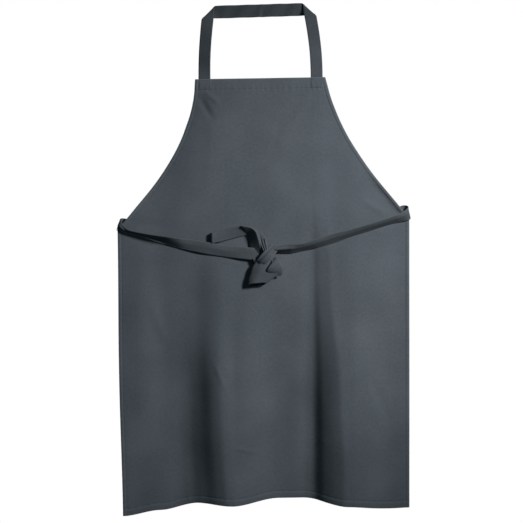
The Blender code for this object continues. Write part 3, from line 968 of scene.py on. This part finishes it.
def tie_tack(side, start, thread):
    """The stitched box that holds a tie's end behind its waist corner."""
    outward = -1 if side == "left" else 1
    reach = TAPE_WIDTH / 2 - 0.002
    near, far = (start[0] + outward * away for away in TIE_TACK)
    low, high = start[2] - reach, start[2] + reach
    count = 20
    y = np.full(count, start[1] + TAPE / 2)
    facing = np.tile((0.0, 1.0, 0.0), (count, 1))
    lines = []
    for x in (near, far):
        lines.append((np.stack([np.full(count, x), y, np.linspace(low, high, count)], axis=1), facing))
    for z in (low, high):
        lines.append((np.stack([np.linspace(near, far, count), y, np.full(count, z)], axis=1), facing))
    tack = stitches(f"{side}_tie_box", lines, thread)
    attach(tack, "skirt")
    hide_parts(f"{side}_tie_tack")


# The knot: each station is a point of a band's middle, and the vector across it


def band_grid(stations, rows, columns, pleats, depth, bow):
    """A gathered band through its stations, with pleats along it and a bowed section."""
    line = through(stations, rows)
    centre, across = line[:, :3], line[:, 3:6]
    ahead = unit(np.gradient(centre, axis=0))
    outward = unit(np.cross(ahead, across))
    t = np.linspace(-0.5, 0.5, columns)
    shape = bow * (1 - 4 * t**2) + depth * np.cos(2 * math.pi * pleats * t)
    grid = centre[:, None] + across[:, None] * t[None, :, None]
    return grid + outward[:, None] * np.broadcast_to(shape, (rows, columns))[..., None]


WRAP = (
    (0.0325, -0.0120, -0.5285, 0.011, 0.000, -0.009),
    (0.0285, -0.0215, -0.5345, 0.015, -0.001, -0.013),
    (0.0162, -0.0310, -0.5480, 0.0165, -0.001, -0.0160),
    (0.0040, -0.0305, -0.5605, 0.0155, -0.001, -0.0140),
    (-0.0055, -0.0225, -0.5685, 0.0120, 0.001, -0.0110),
    (-0.0055, -0.0140, -0.5680, 0.0100, 0.003, -0.0090),
)
CROWN_FOLDS = (
    (0.0035, -0.0150, -0.5150, 0.016, 0.000, 0.005),
    (0.0040, -0.0215, -0.5180, 0.017, 0.000, 0.004),
    (0.0060, -0.0262, -0.5260, 0.015, 0.000, 0.003),
    (0.0095, -0.0275, -0.5360, 0.013, 0.000, 0.001),
    (0.0120, -0.0250, -0.5430, 0.012, 0.000, 0.000),
)
BACK_FOLD = (
    (-0.0100, -0.0125, -0.4975, 0.008, -0.001, 0.008),
    (-0.0040, -0.0130, -0.5030, 0.010, -0.001, 0.010),
    (0.0030, -0.0135, -0.5110, 0.011, -0.001, 0.009),
    (0.0080, -0.0140, -0.5220, 0.011, -0.001, 0.007),
    (0.0115, -0.0150, -0.5350, 0.011, -0.001, 0.005),
)
LIP = (
    (-0.0180, -0.0190, -0.5585, -0.002, 0.004, 0.010),
    (-0.0090, -0.0225, -0.5635, 0.001, 0.004, 0.011),
    (0.0010, -0.0240, -0.5665, 0.003, 0.004, 0.010),
    (0.0110, -0.0220, -0.5660, 0.004, 0.004, 0.009),
)
SHORT_TAIL = (
    (0.0330, -0.0215, -0.5560, 0.0080, 0.001, 0.0040),
    (0.0338, -0.0285, -0.5610, 0.0120, 0.003, 0.0030),
    (0.0340, -0.0325, -0.5690, 0.0220, 0.006, 0.0015),
    (0.0335, -0.0320, -0.5780, 0.0320, 0.010, 0.0000),
    (0.0315, -0.0280, -0.5865, 0.0360, 0.011, -0.003),
    (0.0285, -0.0225, -0.5925, 0.0340, 0.010, -0.007),
)


CORE_CENTRE = np.array((0.0165, -0.0160, -0.5440))
CORE_RADII = np.array((0.0110, 0.0060, 0.0120))
# Each band's name and stations, its rows and columns, its pleats and their depth, and its bow
KNOT_BANDS = (
    ("knot_wrap", WRAP, 44, 25, 2.0, 0.0008, 0.0022),
    ("knot_crown_folds", CROWN_FOLDS, 36, 21, 3.0, 0.0013, 0.0010),
    ("knot_lip", LIP, 28, 9, 1.0, 0.0003, 0.0012),
    ("knot_back_fold", BACK_FOLD, 30, 11, 1.0, 0.0004, 0.0010),
)
SHORT_TAIL_SHAPE = (40, 13, 0.0, 0.0, 0.0016)


def knot_core(tape):
    """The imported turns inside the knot, which show only in its gaps."""
    rings, sides = 9, 18
    polar = np.linspace(0.12, math.pi - 0.12, rings)[:, None]
    turn = np.linspace(0, 2 * math.pi, sides, endpoint=False)[None, :]
    unevenness = 1 + 0.06 * np.sin(3 * turn + 2 * polar)
    ball = np.stack([
        np.sin(polar) * np.cos(turn) * unevenness,
        np.sin(polar) * np.sin(turn) * unevenness,
        np.cos(polar) * np.ones_like(turn),
    ], axis=-1)
    vertices = (CORE_CENTRE + ball * CORE_RADII).reshape(-1, 3)
    faces = []
    for i in range(rings - 1):
        for j in range(sides):
            k = (j + 1) % sides
            faces.append((i * sides + j, (i + 1) * sides + j, (i + 1) * sides + k, i * sides + k))
    faces.append(tuple(reversed(range(sides))))
    faces.append(tuple((rings - 1) * sides + j for j in range(sides)))
    uv = vertices[:, [0, 2]]
    made = new_mesh("knot_core", vertices, faces, tape, uv, np.zeros(len(vertices)))
    return made


def make_knot(tape, thread):
    """The turns of both ties that make the knot, and the short end beside the loop."""
    made = {"knot_core": knot_core(tape)}
    for name, stations, *shape in KNOT_BANDS:
        made[name] = tape_piece(name, band_grid(stations, *shape), tape)
    grid = band_grid(SHORT_TAIL, *SHORT_TAIL_SHAPE)
    made["short_tie_end"] = tape_piece("short_tie_end", grid, tape)
    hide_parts("tie_knot")
    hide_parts("short_tie_tail")
    for piece in made.values():
        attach(piece, "waist_ties")
    normals = grid_normals(grid)
    lines = [seam_line(grid, normals, np.s_[row, 1:-1], TAPE / 2) for row in (23, 28)]
    seam = stitches("short_end_seam", lines, thread)
    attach(seam, "waist_ties")
    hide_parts("short_tail_stitching")
    return [*made.values(), seam]


# The long loose end arches up out of the knot, then lies to the left. Each station is a point
# of its inner edge, a point of its outer edge, and how far it folds back past the outer edge
LONG_END = (
    (-0.0190, -0.0160, -0.5450, 0.0060, -0.0200, -0.5440, 0.004),
    (-0.0258, -0.0125, -0.5290, -0.0016, -0.0270, -0.5302, 0.006),
    (-0.0278, -0.0118, -0.5141, -0.0064, -0.0300, -0.5141, 0.006),
    (-0.0294, -0.0115, -0.5060, -0.0120, -0.0310, -0.4970, 0.005),
    (-0.0308, -0.0115, -0.5026, -0.0219, -0.0290, -0.4878, 0.003),
    (-0.0317, -0.0118, -0.5016, -0.0414, -0.0255, -0.4835, 0.001),
    (-0.0340, -0.0122, -0.5025, -0.0495, -0.0190, -0.4844, 0.000),
    (-0.0575, -0.0130, -0.5083, -0.0621, -0.0165, -0.4869, 0.000),
    (-0.0759, -0.0140, -0.5131, -0.0805, -0.0160, -0.4906, 0.000),
    (-0.0932, -0.0160, -0.5177, -0.1001, -0.0175, -0.4947, 0.000),
    (-0.1104, -0.0185, -0.5210, -0.1110, -0.0200, -0.4985, 0.000),
    (-0.1135, -0.0165, -0.5218, -0.1138, -0.0178, -0.4993, 0.000),
    (-0.1175, -0.0110, -0.5225, -0.1178, -0.0115, -0.5002, 0.000),
)
TAIL_COLUMNS = 13
LIP_COLUMNS = 4
LOOSE_TAPE = 0.0014
TAIL_SEAM_LIFT = 0.0006


def long_end_grid(rows=110):
    """The long end's surface: across from edge to edge, then the strip that folds back."""
    points = np.array(LONG_END)
    inner, outer = points[:, :3], points[:, 3:6]
    line = through(np.hstack([(inner + outer) / 2, (outer - inner) / 2, points[:, 6:]]), rows)
    middle, half, lip = line[:, None, :3], line[:, None, 3:6], line[:, None, 6:]
    t = np.linspace(-1, 1, TAIL_COLUMNS)[None, :, None]
    bow = np.array((0.0, -0.0007, 0.0)) * (1 - t**2)
    face = middle + half * t + bow
    outward = unit(half * np.array((1.0, 0.0, 1.0)))
    back = np.linspace(0, 1, LIP_COLUMNS + 1)[None, 1:, None]
    strip = face[:, -1:] + (outward * 0.8 + np.array((0.0, 0.9, 0.0))) * (lip + 0.0012) * back
    return np.concatenate([face, strip], axis=1)


def make_tail(tape, thread):
    grid = long_end_grid()
    tail = tape_piece("long_tie_end", grid, tape, LOOSE_TAPE)
    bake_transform(tail)
    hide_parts("tie_tail")
    normals = grid_normals(grid)
    lines = []
    for part in (np.s_[-14, :TAIL_COLUMNS], np.s_[-19, :TAIL_COLUMNS], np.s_[50:-14, 1]):
        for face in (1, -1):
            lines.append(seam_line(grid, normals, part, TAIL_SEAM_LIFT, face))
    seam = stitches("long_end_seam", lines, thread)
    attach(seam, "tie_tail")
    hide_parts("tie_tail_stitching")
    return [tail, seam]


# The bow loop: rings down it, as centre x, y, z, half width, half depth, how far its front is
# raised, and how far its right side reaches out and up
LOOP_RINGS = (
    (0.0050, -0.0195, -0.5570, 0.0085, 0.0045, 0.000, 0.000, 0.000),
    (0.0040, -0.0210, -0.5650, 0.0140, 0.0060, 0.000, 0.006, 0.000),
    (0.0030, -0.0222, -0.5760, 0.0205, 0.0080, 0.001, 0.016, 0.001),
    (0.0000, -0.0226, -0.5900, 0.0219, 0.0088, 0.003, 0.022, 0.003),
    (-0.0060, -0.0224, -0.6060, 0.0215, 0.0088, 0.006, 0.013, 0.005),
    (-0.0098, -0.0222, -0.6190, 0.0190, 0.0088, 0.0064, 0.002, 0.005),
)
# How far the curl's edges lap, and where its inner edge is, as angles round it
LOOP_OVERLAP = 0.75
LOOP_SEAM = math.radians(40)


def make_loop(tape):
    """A curl of tape, gathered at the knot and open below, whose edges lap on the right."""
    rows, columns = 40, 61
    line = through(LOOP_RINGS, rows)
    share = np.linspace(0, 1, columns)[None, :]
    angle = share * (2 * math.pi + LOOP_OVERLAP) + LOOP_SEAM
    down = np.linspace(0, 1, rows)[:, None]
    pleat = 1 + 0.07 * (1 - 0.5 * down) * np.sin(4 * angle + 1.0 + 1.5 * down)
    spiral = 0.0030 * (share - 0.5) * smooth(down * 3)
    wide = line[:, 3:4] * pleat - spiral
    deep = line[:, 4:5] * pleat - spiral
    right = np.maximum(np.cos(angle), 0.0) ** 1.5
    x = line[:, 0:1] + wide * np.cos(angle) + line[:, 6:7] * right
    y = line[:, 1:2] + deep * np.sin(angle)
    raised = np.where(np.sin(angle) > 0, 0.30, 1.0) * np.sin(angle)
    z = line[:, 2:3] - line[:, 5:6] * raised + line[:, 7:8] * right
    grid = np.stack([x, y, z], axis=-1)
    loop = tape_piece("bow_loop_tape", grid, tape, LOOSE_TAPE)
    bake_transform(loop)
    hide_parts("bow_loop")
    return loop


# The studio


FILL_COLOUR = (0.42, 0.86, 1.0, 1.0)
AMBIENT = 0.052
WHITE = (1.0, 1.0, 1.0)
WARM = (1.0, 0.975, 0.96)
COOL = (0.80, 0.92, 1.0)
CAMERA_DISTANCE = 3.5
CAMERA_X = 0.0011
CAMERA_Z = -0.5635
VIEW_WIDTH = 1.2029
SENSOR = 36.0
FLOOR_Z = -1.9
FLOOR_RADIUS = 1.5
FLOOR_SIDES = 96
# The key light's softness and the angle of its cone
KEY_RADIUS = 0.20
KEY_CONE = math.radians(47.0)


def place_light(name, kind, place, target, watts, colour):
    """A light of some kind that looks at its target."""
    lamp = bpy.data.lights.new(name, kind)
    lamp.energy = watts
    lamp.color = colour
    made = new_object(name, lamp)
    made.location = place
    aim = Vector(target) - Vector(place)
    made.rotation_euler = aim.to_track_quat("-Z", "Y").to_euler()
    return lamp


def make_lights():
    """A soft key from the front right, a weak fill beside the camera and a light behind."""
    key = place_light("key", "SPOT", (1.45, -1.40, 0.30), (0.0, 0.0, -0.57), 264.0, WARM)
    key.shadow_soft_size = KEY_RADIUS
    key.spot_size = KEY_CONE
    key.spot_blend = 1.0
    front = place_light("front_fill", "AREA", (-0.2, -3.2, 0.5), (0.0, 0.0, -0.5), 4.0, COOL)
    back = place_light("back_key", "AREA", (-1.6, 2.4, 0.8), (0.0, 0.0, -0.6), 75.0, WHITE)
    for lamp, size in ((front, 1.8), (back, 1.2)):
        lamp.shape = "DISK"
        lamp.size = size


def make_world():
    """White to the camera, and a weak even fill to the cloth."""
    world = bpy.data.worlds.new("studio")
    bpy.context.scene.world = world
    world.use_nodes = True
    tree = world.node_tree
    tree.nodes.clear()
    fill = new_node(tree, "Background", {"Color": FILL_COLOUR, "Strength": AMBIENT})
    seen = new_node(tree, "Background", {"Color": (*WHITE, 1.0), "Strength": 1.0})
    by_camera = new_node(tree, "LightPath", {}).outputs["Is Camera Ray"]
    inputs = {"Fac": by_camera, 1: fill.outputs["Background"], 2: seen.outputs["Background"]}
    mix = new_node(tree, "MixShader", inputs)
    new_node(tree, "OutputWorld", {"Surface": mix.outputs["Shader"]})


def make_camera():
    scene = bpy.context.scene
    scene.view_settings.view_transform = "Standard"
    data = bpy.data.cameras.new("camera")
    data.sensor_width = SENSOR
    data.lens = SENSOR * CAMERA_DISTANCE / VIEW_WIDTH
    camera = new_object("camera", data)
    camera.location = (CAMERA_X, -CAMERA_DISTANCE, CAMERA_Z)
    camera.rotation_euler = (math.radians(90), 0.0, 0.0)
    scene.camera = camera


def make_floor():
    """A pale round floor far below, which throws no light on the cloth."""
    look, _tree, shader = new_look("pale_floor", 0.9, 0.5)
    shader.inputs["Base Color"].default_value = (0.80, 0.80, 0.80, 1.0)
    shader.inputs["Emission Color"].default_value = (*WHITE, 1.0)
    shader.inputs["Emission Strength"].default_value = 0.10
    turn = np.linspace(0, 2 * math.pi, FLOOR_SIDES, endpoint=False)
    ring = np.stack([np.cos(turn), np.sin(turn), np.zeros(FLOOR_SIDES)], axis=1) * FLOOR_RADIUS
    floor = new_mesh("floor", ring + (0.0, 0.0, FLOOR_Z), [tuple(range(FLOOR_SIDES))], look)
    floor.visible_diffuse = False


def main():
    cloth = cloth_look("grey_twill", CLOTH_COLOUR, CLOTH_RIB, 0.22)
    tape = cloth_look("grey_tape", TAPE_COLOUR, TAPE_RIB, 0.20)
    thread = thread_look("grey_thread", THREAD_COLOUR)
    make_panel(cloth, thread)
    make_strap(tape, thread)
    left, left_seam, left_line = make_tie("left", LEFT_TIE, True, LEFT_CREASE, tape, thread)
    right, right_seam, right_line = make_tie("right", RIGHT_TIE, False, RIGHT_CREASE, tape, thread)
    knot = make_knot(tape, thread)
    tail = make_tail(tape, thread)
    loop = make_loop(tape)
    make_camera()
    make_world()
    make_lights()
    make_floor()


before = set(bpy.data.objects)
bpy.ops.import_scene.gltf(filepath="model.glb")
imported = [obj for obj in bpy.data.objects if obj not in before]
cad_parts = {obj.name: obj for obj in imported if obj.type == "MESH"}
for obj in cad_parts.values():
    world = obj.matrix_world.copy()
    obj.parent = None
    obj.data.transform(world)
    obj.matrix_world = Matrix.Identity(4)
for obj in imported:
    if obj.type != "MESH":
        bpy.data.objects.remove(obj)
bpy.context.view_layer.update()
main()
